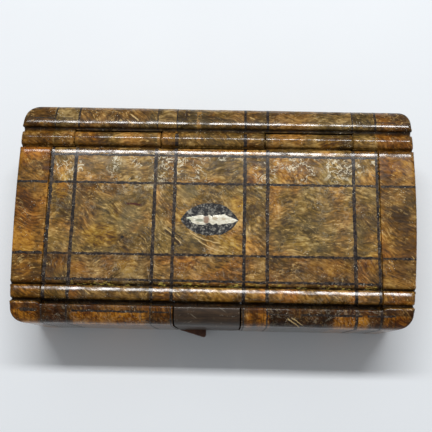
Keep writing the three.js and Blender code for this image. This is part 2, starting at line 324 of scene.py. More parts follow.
def block_distance(point):
    """Distance in X and Z from the front block's outline, below nought inside it."""
    round_by = block_corner
    middle = (block_left + block_right) / 2
    across = abs(point.x - middle) - (block_right - block_left) / 2 + round_by
    down = block_low.z + round_by - point.z
    outside = math.hypot(max(across, 0), max(down, 0))
    return outside + min(max(across, down), 0) - round_by


def joint_drop(point):
    """How far the surface is rubbed down beside a joint."""
    drop = 0
    if point.z < height - 6 and point.y > rail_inner:
        return 0
    if lid_front - 1 < point.y < lid_rear + hinge_gap:
        for edge, side in ((lid_left, -1), (lid_right, 1)):
            clear = (point.x - edge) * side
            if clear > 0:
                drop = max(drop, rub(clear - lid_joint / 2, joint_rub))
    elif lid_rear < point.y < rear_rail_inner:
        for ends in lid_knuckles:
            for end in ends:
                drop = max(drop, rub(abs(point.x - end) - hinge_gap / 4, knuckle_rub))
    elif point.y <= rail_inner:
        drop = rub(abs(block_distance(point) - block_gap / 4) - block_gap / 4, joint_rub)
    return drop


def off_true(point):
    """How far the hand-cut ends and the rear stand off the true plan at that point."""
    moved = Vector((0, 0, 0))
    past_end = (abs(point.x) - end_off_from) / off_run
    if past_end > 0:
        side = 1 if point.x > 0 else -1
        middle, lean, bow = end_off[side]
        moved.x = side * min(1, past_end) * (middle + lean * point.y + bow * point.y**2)
    past_rail = (point.y - rear_rail_inner - rear_shoulder) / off_run
    if past_rail > 0:
        moved.y = min(1, past_rail) * (rear_off[0] + rear_off[1] * point.x)
    beyond_lid = max(lid_left - point.x, point.x - lid_right) + 0.5
    if beyond_lid > 0 and point.z > height / 2:
        ahead = (point.y - rail_inner + 1.4) / 1.2
        behind = (lid_front + 0.5 - point.y) / 0.6
        moved.y += end_valley_fill * min(1, beyond_lid / 1.5) * max(0, min(1, ahead, behind))
    return moved


def worn(point, normal):
    """The surface as cut and handled: off true, waved, rippled and rubbed at its joints."""
    wave = long_wave * noise.noise(point / 13)
    wave += short_wave * noise.noise(point / 3.1 + Vector((7, 3, 1)))
    wave += ripple * noise.noise(point / 1.1 + Vector((1, 9, 4)))
    return point + off_true(point) + normal * (wave - joint_drop(point) - long_wave)


# Meshes


def mesh_object(name, points, faces):
    mesh = bpy.data.meshes.new(name)
    mesh.from_pydata([point * MM for point in points], [], faces)
    shaped = bmesh.new()
    shaped.from_mesh(mesh)
    bmesh.ops.remove_doubles(shaped, verts=shaped.verts, dist=1e-7)
    bmesh.ops.recalc_face_normals(shaped, faces=shaped.faces)
    shaped.to_mesh(mesh)
    shaped.free()
    made = bpy.data.objects.new(name, mesh)
    bpy.context.scene.collection.objects.link(made)
    return made


def skinned(name, loops):
    """A closed mesh over a row of loops with equal counts, with a face over each end."""
    count = len(loops[0])
    points = [point for loop in loops for point in loop]
    faces = []
    for row in range(len(loops) - 1):
        for index in range(count):
            after = (index + 1) % count
            first, second = row * count, (row + 1) * count
            faces.append((first + index, first + after, second + after, second + index))
    faces.append(tuple(reversed(range(count))))
    faces.append(tuple(range((len(loops) - 1) * count, len(loops) * count)))
    return mesh_object(name, points, faces)


def boolean(piece, tool, operation):
    """Cuts or joins with a tool, which is then thrown away."""
    modifier = piece.modifiers.new(operation, "BOOLEAN")
    modifier.operation = operation
    modifier.solver = "MANIFOLD"
    modifier.object = tool
    shaped = piece.evaluated_get(bpy.context.evaluated_depsgraph_get())
    mesh = bpy.data.meshes.new_from_object(shaped)
    piece.modifiers.clear()
    piece.data = mesh
    bpy.data.objects.remove(tool)
    return piece


def prism(outline, place, low, high):
    """A straight solid over an outline; place turns its two numbers and a height into a point."""
    loops = [[place(point, level) for point in outline] for level in (low, high)]
    return skinned("prism", loops)


def slab(low, high):
    outline = [(low[0], low[1]), (high[0], low[1]), (high[0], high[1]), (low[0], high[1])]
    return prism(outline, lambda point, level: Vector((*point, level)), low[2], high[2])


def rod(radius, start, end, sides=48, rounded=0):
    """A round bar along the hinge line, with its ends rounded off where rounded isn't nought."""
    turns = [math.radians(18 * index) for index in range(6)] if rounded else [0]
    steps = [(rounded * (1 - math.cos(turn)), rounded * (1 - math.sin(turn))) for turn in turns]
    profile = [(start + along, radius - inset) for along, inset in steps]
    profile += [(end - along, radius - inset) for along, inset in reversed(steps)]
    angles = [2 * math.pi * index / sides for index in range(sides)]
    ways = [(math.cos(angle), math.sin(angle)) for angle in angles]
    loops = []
    for x, reach in profile:
        loops.append([Vector((x, pivot_y + reach * along, pivot_z + reach * up)) for along, up in ways])
    return skinned("rod", loops)


def spaced(low, high, step, near=()):
    """Even places from low to high, with finer ones round each place in near."""
    count = max(1, round((high - low) / step))
    places = {round(low + (high - low) * index / count, 4) for index in range(count + 1)}
    for middle in near:
        for away in (0, 0.07, 0.15, 0.2, 0.26, 0.34, 0.45, 0.6):
            places.update((round(middle - away, 4), round(middle + away, 4)))
    kept = []
    for place in sorted(place for place in places if low <= place <= high):
        if not kept or place - kept[-1] > 0.03:
            kept.append(place)
    return kept


def plan_end(side, y):
    """How far the bowed end on that side, with its rounded corners, reaches along X at that depth."""
    corner = corner_rounds[side, 1 if y > 0 else -1]
    straight_end = half_length - end_bow
    turn = half_depth - corner
    bowed = half_length - bow_radius + math.sqrt(bow_radius**2 - min(abs(y), turn) ** 2)
    if abs(y) <= turn:
        return bowed
    t = math.sqrt(max(0, (half_depth - abs(y)) / corner))
    return (1 - t) ** 2 * (straight_end - corner) + 2 * t * (1 - t) * straight_end + t**2 * bowed


def box_blank():
    """The whole closed box as one solid, before the lid, the cavity and the joints are cut."""
    ring = box_section()
    normals = ring_normals(ring)
    inner = 37.5
    near = [lid_left, lid_right, block_left, block_right] + [end for ends in lid_knuckles for end in ends]
    columns = spaced(-inner, inner, 0.5, near)
    rounds = [edge_round * max(0, abs(normal.y)) ** 2 for normal in normals]
    spine = half_depth - height / 2

    def cap(side, inset):
        loop = []
        for point, normal, edge in zip(ring, normals, rounds):
            moved = point - normal * min(inset, edge_round)
            if inset > edge_round:
                target = Vector((max(-spine, min(spine, point.x)), height / 2))
                moved = moved.lerp(target, (inset - edge_round) / (height / 2 - edge_round))
            fall = edge - math.sqrt(edge**2 - max(0, edge - inset) ** 2) if edge > 0 else 0
            outward = Vector((side * min(1, inset / edge_round), normal.x, normal.y)).normalized()
            loop.append(worn(Vector((side * (plan_end(side, moved.x) - fall), moved.x, moved.y)), outward))
        return loop

    def station(x_of):
        return [
            worn(Vector((x_of(point, edge), point.x, point.y)), Vector((0, normal.x, normal.y)))
            for point, normal, edge in zip(ring, normals, rounds)
        ]

    def towards_end(side, share):
        return station(lambda point, edge: side * (inner + (plan_end(side, point.x) - edge - inner) * share))

    depths = [0.03, 0.1, 0.22, 0.4, 0.7, 1.2, 2, 3, 4.2, 5.5, 7, 8.5, 9.7]
    shares = [0.1, 0.2, 0.32, 0.45, 0.58, 0.7, 0.82, 0.92, 1]
    loops = [cap(-1, depth) for depth in reversed(depths)]
    loops += [towards_end(-1, share) for share in reversed(shares)]
    loops += [station(lambda point, edge, x=x: x) for x in columns]
    loops += [towards_end(1, share) for share in shares]
    loops += [cap(1, depth) for depth in depths]
    return skinned("box_blank", loops)


def lid_blank():
    """The lid's moulded panel with rubbed ends."""
    ring = lid_section()
    normals = ring_normals(ring)
    columns = spaced(lid_left + lid_edge, lid_right - lid_edge, 0.45)
    loops = []
    for angle in (0, 20, 40, 60, 80):
        turn = math.radians(angle)
        inset, along = lid_edge * (1 - math.sin(turn)), lid_edge * (1 - math.cos(turn))
        loops.append((lid_left + along, inset))
    left = loops
    right = [(lid_right + lid_left - x, inset) for x, inset in reversed(left)]
    stations = left + [(x, 0) for x in columns] + right
    made = []
    for x, inset in stations:
        loop = []
        for point, normal in zip(ring, normals):
            moved = point - normal * inset
            loop.append(worn(Vector((x, moved.x, moved.y)), Vector((0, normal.x, normal.y))))
        made.append(loop)
    return skinned("lid_burr", made)


def u_outline(grow):
    """The front block's face in X and Z, with its rounded lower corners."""
    left, right = block_left - grow, block_right + grow
    foot, corner = block_low.z - grow, block_corner + grow
    lower_left = arc((left + corner, foot + corner), (corner, corner), 180, 270, 8)
    lower_right = arc((right - corner, foot + corner), (corner, corner), 270, 360, 8)
    return [Vector((left, height + beyond))] + lower_left + lower_right + [Vector((right, height + beyond))]


def front_to_back(point, depth):
    return Vector((point[0], depth, point[1]))


def upright(point, level):
    return Vector((point[0], point[1], level))


def cavity_tool():
    left, right = lid_left + lid_ledge, lid_right - lid_ledge
    front, rear, corner = rail_inner + lid_ledge, lid_rear, cavity_corner
    outline = (
        arc((right - corner, front + corner), (corner, corner), -90, 0, 8)
        + arc((right - corner, rear - corner), (corner, corner), 0, 90, 8)
        + arc((left + corner, rear - corner), (corner, corner), 90, 180, 8)
        + arc((left + corner, front + corner), (corner, corner), 180, 270, 8)
    )
    return prism(outline, upright, floor_thickness, height)


def trough_tools(start, end):
    """What is cleared for one of the lid's knuckles."""
    radius = knuckle_radius + hinge_gap
    yield rod(radius, start, end)
    yield slab((start, pivot_y - radius, pivot_z), (end, pivot_y + radius, height + beyond))
    yield slab((start, lid_rear - beyond, ledge_top), (end, pivot_y, height + beyond))


def bore_tool():
    return rod(bore_radius, pin_low.x - 0.2, pin_high.x + 0.2, 16)


def box_and_front_block():
    blank = box_blank()
    block = blank.copy()
    block.data = blank.data.copy()
    bpy.context.scene.collection.objects.link(block)
    panel = slab(
        (lid_left - lid_joint / 2, rail_inner, ledge_top),
        (lid_right + lid_joint / 2, pivot_y - knuckle_radius, height + beyond),
    )
    boolean(blank, panel, "DIFFERENCE")
    for start, end in lid_knuckles:
        for tool in trough_tools(start, end):
            boolean(blank, tool, "DIFFERENCE")
    boolean(blank, cavity_tool(), "DIFFERENCE")
    boolean(blank, bore_tool(), "DIFFERENCE")
    pocket = prism(u_outline(block_gap), front_to_back, -half_depth - beyond, rail_inner + block_gap)
    boolean(blank, pocket, "DIFFERENCE")
    keep = prism(u_outline(0), front_to_back, -half_depth - beyond, rail_inner)
    boolean(block, keep, "INTERSECT")
    blank.name, block.name = "box_burr", "front_block_dark"
    return blank, block


def lid_with_knuckles():
    lid = lid_blank()
    for start, end in lid_knuckles:
        first, last = start + hinge_gap / 2, end - hinge_gap / 2
        low = pivot_z - knuckle_radius + web_rise
        brim = hinge_groove_floor - 0.1
        web = [
            (lid_rear - 1, lid_under + lid_edge),
            (lid_rear, lid_under + lid_edge),
            (pivot_y, low),
            (pivot_y, brim),
            (lid_rear + 2 * hinge_gap, brim),
            (lid_rear + hinge_gap, brim - valley_depth),
            (lid_rear - 0.05, brim),
            (lid_rear - 1, brim),
        ]
        tool = prism(web, lambda point, x: Vector((x, *point)), first + knuckle_rub, last - knuckle_rub)
        boolean(lid, tool, "UNION")
        boolean(lid, rod(knuckle_radius, first, last, 56, knuckle_rub), "UNION")
    boolean(lid, bore_tool(), "DIFFERENCE")
    lid.name = "lid_burr"
    return lid


# Stringing


ring_of_box = box_section()
normals_of_box = ring_normals(ring_of_box)
ring_of_lid = lid_section()
normals_of_lid = ring_normals(ring_of_lid)


def rows_between(ring, normals, keep):
    return [(point, normal) for point, normal in zip(ring, normals) if keep(point)]


def strip(stations):
    """Points and faces of one let-in strip; each station is a row of points with their normals."""
    points, faces = [], []
    count = len(stations[0])
    size = count + 2
    for station in stations:
        top = [worn(point, normal) + normal * string_lift for point, normal in station]
        deep = [worn(point, normal) - normal * string_sink for point, normal in (station[-1], station[0])]
        points += top + deep
    for row in range(len(stations) - 1):
        for index in range(size):
            after = (index + 1) % size
            first, second = row * size, (row + 1) * size
            faces.append((first + index, first + after, second + after, second + index))
    faces.append(tuple(reversed(range(size))))
    faces.append(tuple(range((len(stations) - 1) * size, len(stations) * size)))
    return points, faces


def joined_strips(name, strips):
    points, faces = [], []
    for more_points, more_faces in strips:
        start = len(points)
        points += more_points
        faces += [tuple(start + index for index in face) for face in more_faces]
    return mesh_object(name, points, faces)


def string_offsets(point, width=string_width):
    """Places across a strip from its middle line; its edges wander a little, more on the thin strips."""
    other = point + Vector((5, 5, 5))
    stray = 1 if width > length_width else 1.5
    left = width / 2 * (1 + stray * (0.3 * noise.noise(point * 0.9) + 0.32 * noise.noise(point * 2.3)))
    right = width / 2 * (1 + stray * (0.3 * noise.noise(other * 0.9) + 0.32 * noise.noise(other * 2.3)))
    return [-left, -left * 0.5, 0, right * 0.5, right]


def cross_strip(place, rows, width=string_width):
    stations = []
    for point, normal in rows:
        middle = Vector((place, point.x, point.y))
        outward = Vector((0, normal.x, normal.y))
        wander = 0.05 * noise.noise(middle * 0.35)
        offsets = string_offsets(middle, width)
        stations.append([(middle + Vector((offset + wander, 0, 0)), outward) for offset in offsets])
    return strip(stations)


def top_at(y):
    """The box's upper surface at that depth, and its normal."""
    for index in range(len(ring_of_box) - 1):
        first, second = ring_of_box[index], ring_of_box[index + 1]
        if first.x <= y <= second.x and first.y > height / 2 and second.x > first.x:
            share = (y - first.x) / (second.x - first.x)
            point = first.lerp(second, share)
            return point, normals_of_box[index].lerp(normals_of_box[index + 1], share).normalized()
    raise ValueError(y)


def station_along(x, y, width):
    middle = Vector((x, y, height))
    wander = 0.05 * noise.noise(middle * 0.35)
    station = []
    for offset in string_offsets(middle, width):
        point, normal = top_at(y + wander + offset)
        station.append((Vector((x, point.x, point.y)), Vector((0, normal.x, normal.y))))
    return station


def length_strip(y, start, end, width=length_width):
    return strip([station_along(x, y, width) for x in spaced(start, end, 0.36)])


def end_strip(side, y):
    """A strip that runs out over an end block and down the end of the box."""
    start = (lid_right + lid_joint) if side > 0 else -(lid_left - lid_joint)
    edge = edge_round
    reach = plan_end(side, y) - edge
    places = [(x, height, 0, 1) for x in spaced(start, reach, 0.45)]
    for angle in (15, 30, 45, 60, 75):
        turn = math.radians(angle)
        out, up = math.sin(turn), math.cos(turn)
        places.append((reach + edge * out, height - edge + edge * up, out, up))
    places += [(reach + edge, z, 1, 0) for z in reversed(spaced(string_foot, height - edge, 0.6))]
    stations = []
    for x, z, out, up in places:
        middle = Vector((side * x, y, z))
        normal = Vector((side * out, 0, up))
        wander = 0.05 * noise.noise(middle * 0.35)
        offsets = string_offsets(middle, length_width)
        stations.append([(middle + Vector((0, offset + wander, 0)), normal) for offset in offsets])
    return strip(stations)


def all_stringing():
    """Every strip, grouped as the solids are."""
    front_rows = rows_between(
        ring_of_box,
        normals_of_box,
        lambda point: point.x <= rail_inner + 0.01 and point.y >= string_foot,
    )
    rear_rows = rows_between(
        ring_of_box,
        normals_of_box,
        lambda point: point.x >= rear_rail_inner - 0.01 and point.y >= string_foot,
    )
    lid_rows = rows_between(
        ring_of_lid,
        normals_of_lid,
        lambda point: point.y > height - bead_drop - 0.6 and point.x < lid_rear + 0.01,
    )
    knuckle_rows = rows_between(
        ring_of_box,
        normals_of_box,
        lambda point: lid_rear < point.x < rear_rail_inner - 0.2 and point.y > hinge_groove_floor + 0.02,
    )
    lid_strips = [cross_strip(string_places[0], lid_rows, string_width * left_string_share)]
    lid_strips += [cross_strip(place, lid_rows) for place in string_places[1:]]
    over_lid_knuckles = [
        cross_strip(place, knuckle_rows)
        for place in string_places
        if any(start + off_joint < place < end - off_joint for start, end in lid_knuckles)
    ]
    over_box_knuckle = [
        cross_strip(place, knuckle_rows)
        for place in string_places
        if abs(place - hinge_middle) < inner_joint - off_joint
    ]
    lengths = [field_rear - string_width / 2, *field_strings, field_front + string_width / 2]
    inset = lid_edge
    lid_strips += [length_strip(y, lid_left + inset, lid_right - inset) for y in lengths]
    front_y = -half_depth + front_rail_string
    rear_y = half_depth - rear_rail_string

    def across(rows, widths, first, last):
        pairs = list(zip(string_places, widths))[first:last]
        return [cross_strip(place, rows, width) for place, width in pairs]

    def along(y, pieces):
        return [length_strip(y, start, end, width) for start, end, width in pieces]

    made = {
        "lid_stringing": joined_strips("lid_lines", lid_strips + over_lid_knuckles),
        "front_stringing_left": joined_strips(
            "front_lines_left", across(front_rows, front_cross_widths, 0, 4) + along(front_y, front_left_lines)
        ),
        "front_stringing_right": joined_strips(
            "front_lines_right", across(front_rows, front_cross_widths, 4, 8) + along(front_y, front_right_lines)
        ),
        "rear_stringing": joined_strips(
            "rear_lines",
            across(rear_rows, rear_cross_widths, 0, 8) + over_box_knuckle + along(rear_y, rear_line_pieces),
        ),
    }
    for side, side_name in ((-1, "left"), (1, "right")):
        for y, y_name in zip(field_strings, ("rear", "front")):
            node = f"{side_name}_end_string_{y_name}"
            made[node] = joined_strips(f"{side_name}_end_line_{y_name}", [end_strip(side, y)])
    return made


# Plaque, lozenge and sliver


def patch(name, outline, lift, crown, thickness):
    """A thin inlay over the lid's surface: rings from its middle to its outline, and an edge sunk in."""
    middle = sum(outline, Vector((0, 0))) / len(outline)
    up = Vector((0, 0, 1))
    loops = []
    for share in (0.03, 0.15, 0.3, 0.45, 0.6, 0.75, 0.88, 0.96, 1):
        loop = []
        for point in outline:
            spot = middle.lerp(point, share)
            rise = lift + crown * (1 - share**2)
            loop.append(worn(Vector((spot.x, spot.y, height)), up) + up * rise)
        loops.append(loop)
    loops.append([Vector((point.x, point.y, point.z - thickness)) for point in loops[-1]])
    return skinned(name, loops)


def wandering(points, amount, pitch):
    """An outline whose points stray a little."""
    moved = []
    for index, point in enumerate(points):
        seed = Vector((point.x, point.y, 0)) / pitch
        moved.append(point + Vector((noise.noise(seed), noise.noise(seed + Vector((9, 2, 5))))) * amount)
    return moved


def plaque_outline():
    """A pointed oval: two arcs that meet in a tip at each end, cut a little longer to the left."""
    centre = (plaque_low + plaque_high) / 2
    half = (plaque_high.x - plaque_low.x) / 2
    side = (plaque_high.y - plaque_low.y) / 2
    tip, lean, crown = half * 0.72, side * 0.8, half * 0.4
    points = []
    for turn in (1, -1):
        for index in range(48):
            t = index / 48
            near = [(-half, 0), (-tip, lean), (-crown, side), (0, side)]
            far = [(0, side), (crown, side), (tip, lean), (half, 0)]
            a, b, c, d = (near if t < 0.5 else far)
            u = 2 * t if t < 0.5 else 2 * t - 1
            weights = ((1 - u) ** 3, 3 * u * (1 - u) ** 2, 3 * u * u * (1 - u), u**3)
            x = sum(weight * p[0] for weight, p in zip(weights, (a, b, c, d)))
            y = sum(weight * p[1] for weight, p in zip(weights, (a, b, c, d)))
            across, up = turn * x, turn * y
            across *= plaque_left_share if across < 0 else plaque_right_share
            up *= plaque_upper_share if up > 0 else plaque_lower_share
            points.append(Vector((centre.x + across, centre.y + up)))
    return wandering(points, 0.14, 0.9)


def lozenge_outline():
    """The bone's ragged outline, from its thin left tip along the upper edge and back."""
    centre = (bone_low + bone_high) / 2
    marks = [(-5.5, 0.34), (-4.95, 0.54), (-2.5, 1.0), (-1.85, 1.05), (-1.65, 0.62), (-0.85, 0.95)]
    marks += [(-0.45, 1.15), (0.24, 0.68), (0.4, 1.05), (2.25, 1.15), (2.9, 1.36), (3.5, 0.9)]
    marks += [(4.6, 0.48), (5.8, 0.0), (4.75, -0.6), (3.8, -0.65), (1.95, -1.02), (1.48, -0.96)]
    marks += [(1.26, -0.6), (0.33, -1.14), (-0.37, -0.62), (-1.8, -1.12), (-3.6, -0.94)]
    marks += [(-4.2, -0.6), (-4.35, -0.2), (-4.8, 0.16)]
    points = []
    for index, mark in enumerate(marks):
        points += straight(mark, marks[(index + 1) % len(marks)], 0.2)
    shifted = [Vector((centre.x + point.x, centre.y + point.y)) for point in points]
    return wandering(shifted, 0.1, 0.4)


def sliver_mesh():
    """A wedge of wood that has lifted from the foot of the front, its free end standing out."""
    root = block_left
    proud = (-half_depth - sliver_front) * 0.88
    loops = []
    for index in range(15):
        t = index / 14
        x = root + sliver_length * t
        out = proud * min(1, t / 0.92) * (1 - 0.2 * max(0, t - 0.92) / 0.08)
        low = sliver_lift + 0.25 * (1 - t) + 0.08 * noise.noise(Vector((t * 5, 1, 2)))
        high = sliver_lift + sliver_height * (0.45 + 0.55 * t) + 0.1 * noise.noise(Vector((t * 6, 4, 2)))
        front = -half_depth - out + 0.06 * noise.noise(Vector((t * 7, 3, 8)))
        back = -half_depth + 0.35
        edge = min(0.12, (back - front) / 3)
        outline = [(front + edge, low), (front, low + edge), (front + 0.05, (low + high) / 2)]
        outline += [(front, high - edge), (front + edge, high), (back, high), (back, low)]
        loops.append([Vector((x, y, z)) for y, z in outline])
    return skinned("sliver", loops)


# Shader maths


class Value:
    """A socket of a finish's node tree, so that shader maths reads as arithmetic."""

    def __init__(self, finish, socket):
        self.finish = finish
        self.socket = socket

    def maths(self, operation, *values):
        return self.finish.node("ShaderNodeMath", {"operation": operation}, dict(enumerate(values)))

    def __add__(self, other):
        return self.maths("ADD", self, other)

    def __sub__(self, other):
        return self.maths("SUBTRACT", self, other)

    def __rsub__(self, other):
        return self.maths("SUBTRACT", other, self)

    def __mul__(self, other):
        return self.maths("MULTIPLY", self, other)

    def __truediv__(self, other):
        return self.maths("DIVIDE", self, other)

    def __gt__(self, other):
        return self.maths("GREATER_THAN", self, other)

    def __lt__(self, other):
        return self.maths("LESS_THAN", self, other)

    def __abs__(self):
        return self.maths("ABSOLUTE", self)

    __radd__ = __add__
    __rmul__ = __mul__

    def smooth(self, low, high):
        """Nought below low, one above high, and eased between; low may be the larger."""
        places = {"Value": self, "From Min": low, "From Max": high}
        return self.finish.node("ShaderNodeMapRange", {"interpolation_type": "SMOOTHSTEP"}, places)


class Finish:
    """A material under construction."""

    def __init__(self, name):
        self.material = bpy.data.materials.new(name)
        self.material.use_nodes = True
        self.tree = self.material.node_tree
        self.shader = self.tree.nodes["Principled BSDF"]
        place = self.node("ShaderNodeTexCoord", {}, {}, "Object")
        self.place = self.vector("SCALE", place, scale=1 / MM)
        self.x = self.node("ShaderNodeSeparateXYZ", {}, {"Vector": self.place}, "X")
        self.y = self.node("ShaderNodeSeparateXYZ", {}, {"Vector": self.place}, "Y")
        self.z = self.node("ShaderNodeSeparateXYZ", {}, {"Vector": self.place}, "Z")

    def node(self, kind, settings, sockets, output=0):
        made = self.tree.nodes.new(kind)
        for name, value in settings.items():
            if name == "stops":
                self.set_stops(made.color_ramp, value)
            else:
                setattr(made, name, value)
        for name, value in sockets.items():
            if isinstance(value, Value):
                self.tree.links.new(value.socket, made.inputs[name])
            else:
                made.inputs[name].default_value = value
        return Value(self, made.outputs[output])

    @staticmethod
    def set_stops(ramp, stops):
        while len(ramp.elements) < len(stops):
            ramp.elements.new(0.5)
        for element, (place, colour) in zip(ramp.elements, stops):
            element.position = place
            element.color = (*colour, 1)

    def vector(self, operation, first, second=None, scale=None):
        sockets = {0: first}
        if second is not None:
            sockets[1] = second
        if scale is not None:
            sockets["Scale"] = scale
        return self.node("ShaderNodeVectorMath", {"operation": operation}, sockets)

    def noise(self, place, scale, detail=3, roughness=0.55, shift=0, distortion=0, output="Fac"):
        sockets = {"Vector": place, "W": shift, "Scale": scale, "Detail": detail}
        sockets.update({"Roughness": roughness, "Distortion": distortion})
        return self.node("ShaderNodeTexNoise", {"noise_dimensions": "4D"}, sockets, output)

    def cells(self, place, scale):
        return self.node("ShaderNodeTexVoronoi", {}, {"Vector": place, "Scale": scale}, "Distance")

    def chance(self, number):
        """A random number from nought to one for each whole number."""
        return self.node("ShaderNodeTexWhiteNoise", {"noise_dimensions": "1D"}, {"W": number})

    def mix(self, share, first, second, blend="MIX"):
        sockets = {0: share, 6: as_colour(first), 7: as_colour(second)}
        return self.node("ShaderNodeMix", {"data_type": "RGBA", "blend_type": blend}, sockets, 2)

    def ramp(self, value, stops):
        return self.node("ShaderNodeValToRGB", {"stops": stops}, {"Fac": value})

    def turned(self, place, angle):
        return self.node("ShaderNodeVectorRotate", {"rotation_type": "Z_AXIS"}, {"Vector": place, "Angle": angle})

    def stretched(self, place, factors):
        return self.vector("MULTIPLY", place, factors)

    def finish(self, sockets, height=None, strength=0.4, distance=0.00005):
        if height is not None:
            bump = self.node("ShaderNodeBump", {}, {"Strength": strength, "Distance": distance, "Height": height})
            sockets["Normal"] = bump
        for name, value in sockets.items():
            if isinstance(value, Value):
                self.tree.links.new(value.socket, self.shader.inputs[name])
            else:
                self.shader.inputs[name].default_value = as_colour(value)
        return self.material


def as_colour(value):
    return (*value, 1) if isinstance(value, tuple) and len(value) == 3 else value


def spot(finish, x, y, reach_x, reach_y, soft=0.5):
    """One inside an oval round a place on the top, easing to nought at its edge."""
    across = (finish.x - x) / reach_x
    along = (finish.y - y) / reach_y
    return (across * across + along * along).smooth(1, soft)


def strongest(masks):
    found = masks[0]
    for mask in masks[1:]:
        found = found.maths("MAXIMUM", found, mask)
    return found


def spots(finish, places, soft):
    return strongest([spot(finish, *place, soft) for place in places])


def between(value, low, high, soft=0.25):
    """One where a value lies between low and high, with soft ends."""
    return value.smooth(low - soft, low + soft) * value.smooth(high + soft, high - soft)


def stroke(finish, start, end, width, bow=0):
    """One along a thin line on the top from start to end; bow is how far its middle strays."""
    run = Vector(end) - Vector(start)
    middle = (Vector(start) + Vector(end)) / 2
    length = run.length
    ahead, aside = run / length, Vector((-run.y, run.x)) / length
    x, y = finish.x - middle.x, finish.y - middle.y
    along = x * ahead.x + y * ahead.y
    wander = (finish.noise(finish.place, 1.3, 2, 0.5, 71) - 0.5) * 0.5
    curve = along * along * (4 * bow / length**2) - bow
    across = abs(x * aside.x + y * aside.y + curve + wander)
    return across.smooth(width, width * 0.35) * abs(along).smooth(length / 2, length / 2 - 0.6)


# Wood


DARK_STROKE = (0.022, 0.01, 0.003)
DARK_BROWN = (0.058, 0.03, 0.007)
BROWN = (0.13, 0.074, 0.015)
TAN = (0.265, 0.148, 0.032)
PALE_STROKE = (0.57, 0.38, 0.14)
# Cream of the crazed varnish, used as painted glints of the lamp.
CREAM_GLINT = (0.8, 0.72, 0.52)
DUST = (0.6, 0.52, 0.38)
AMBER_STOPS = [(0.28, (0.1, 0.036, 0.003)), (0.5, (0.31, 0.15, 0.012)), (0.78, (0.6, 0.36, 0.07))]

# Golden places of the burr, dull ones and dark ones: X, Y and their reach along X and Y
GOLDEN = [
    (-33.6, -12.6, 2.2, 2.2),
    (-29.4, -12.6, 2.6, 2.0),
    (-18.4, -12.0, 2.6, 2.2),
    (-6.0, -11.7, 2.6, 2.0),
    (4.6, -6.8, 4.2, 2.6),
    (-24.5, -5.6, 4.6, 3.4),
    (-33.5, 5.4, 1.8, 4.4),
    (-42.0, 12.2, 2.2, 3.2),
    (-40.6, -7.5, 2.4, 3.6),
    (5.0, 1.9, 1.8, 2.4),
    (9.0, 9.1, 1.7, 2.4),
    (24.7, -11.8, 6.5, 2.2),
    (34.0, -10.6, 1.8, 2.6),
    (39.2, 10.0, 2.6, 2.4),
    (-40.9, -13.2, 3.0, 1.6),
]
DULL = [
    (-18.0, -2.4, 3.6, 4.4),
    (-25.4, 10.1, 7.0, 3.0),
    (-5.6, 4.4, 2.8, 2.4),
    (-14.6, 8.0, 3.0, 4.0),
]
DARK = [
    (-21.8, 4.6, 3.4, 1.6),
    (-41.4, 1.8, 2.6, 3.0),
    (-6.8, -12.0, 2.0, 1.2),
    (40.0, -0.4, 2.6, 3.2),
    (-33.6, 20.0, 3.4, 1.3),
    (-37.0, 16.6, 6.6, 1.6),
    (-5.0, 16.6, 3.0, 1.3),
    (40.6, -11.6, 3.2, 3.6),
]

# Stretches of the front rail whose veneer is amber: start and end along X
AMBER_RAIL = [(-42.4, -37.2), (-29.8, -14.2), (7.1, 8.4), (9.6, 12.1), (25.6, 32.6), (36.0, 41.0)]

# Small drops of varnish on the rear rail
DROPS = [(-24.2, 20.6, 0.45, 0.35), (-20.0, 20.8, 0.35, 0.3), (-3.4, 19.6, 0.8, 0.6)]


def veneer_cells(finish):
    """A number for each piece of veneer between the strings."""
    cell = 0
    for line in string_places:
        cell = (finish.x > line) + cell
    rows = [lid_front - 0.35, field_front - 0.4, *sorted(field_strings)]
    rows += [field_rear, lid_rear + 0.15, rear_rail_inner]
    for line in rows:
        cell = cell + (finish.y > line) * 9
    return cell


def zone_tint_and_sheen(finish, colour):
    """Darker and warmer veneer off the lid's field: end blocks, bead, knuckles and rails; the bead and knuckles
    are kept lighter, partly as painted highlight.
    """
    in_lid = (finish.x > lid_left) * (finish.x < lid_right)
    ends = 1 - in_lid
    bead = (finish.y > rail_inner) * (finish.y < field_front - 0.3)
    knuckles = (finish.y > field_rear) * (finish.y < rear_rail_inner)
    rear = finish.y > rear_rail_inner
    front = finish.y < rail_inner
    lower_strips = (finish.y < field_strings[1]) * in_lid
    left_strip = lower_strips * (finish.x < cross_strings[1])
    colour = finish.mix(left_strip, colour, (0.7, 0.71, 0.75), "MULTIPLY")
    right_strip = lower_strips * (finish.x > cross_strings[4])
    colour = finish.mix(right_strip, colour, (0.78, 0.75, 0.78), "MULTIPLY")
    colour = finish.mix(ends, colour, (0.8, 0.62, 0.36), "MULTIPLY")
    colour = finish.mix(lower_strips, colour, (0.86, 0.75, 0.62), "MULTIPLY")
    # The bead lighter and warmer: its amber veneer, and in part painted highlight.
    colour = finish.mix(bead, colour, (1.2, 1.12, 0.88), "MULTIPLY")
    # The knuckles only a little darker: their veneer, kept light in part as painted highlight.
    colour = finish.mix(knuckles, colour, (0.92, 0.86, 0.76), "MULTIPLY")
    colour = finish.mix(rear, colour, (0.62, 0.62, 0.62), "MULTIPLY")
    colour = finish.mix(front * (finish.x < block_left), colour, (1.5, 1.42, 1.25), "MULTIPLY")
    return finish.mix(front, colour, (0.31, 0.23, 0.15), "MULTIPLY")


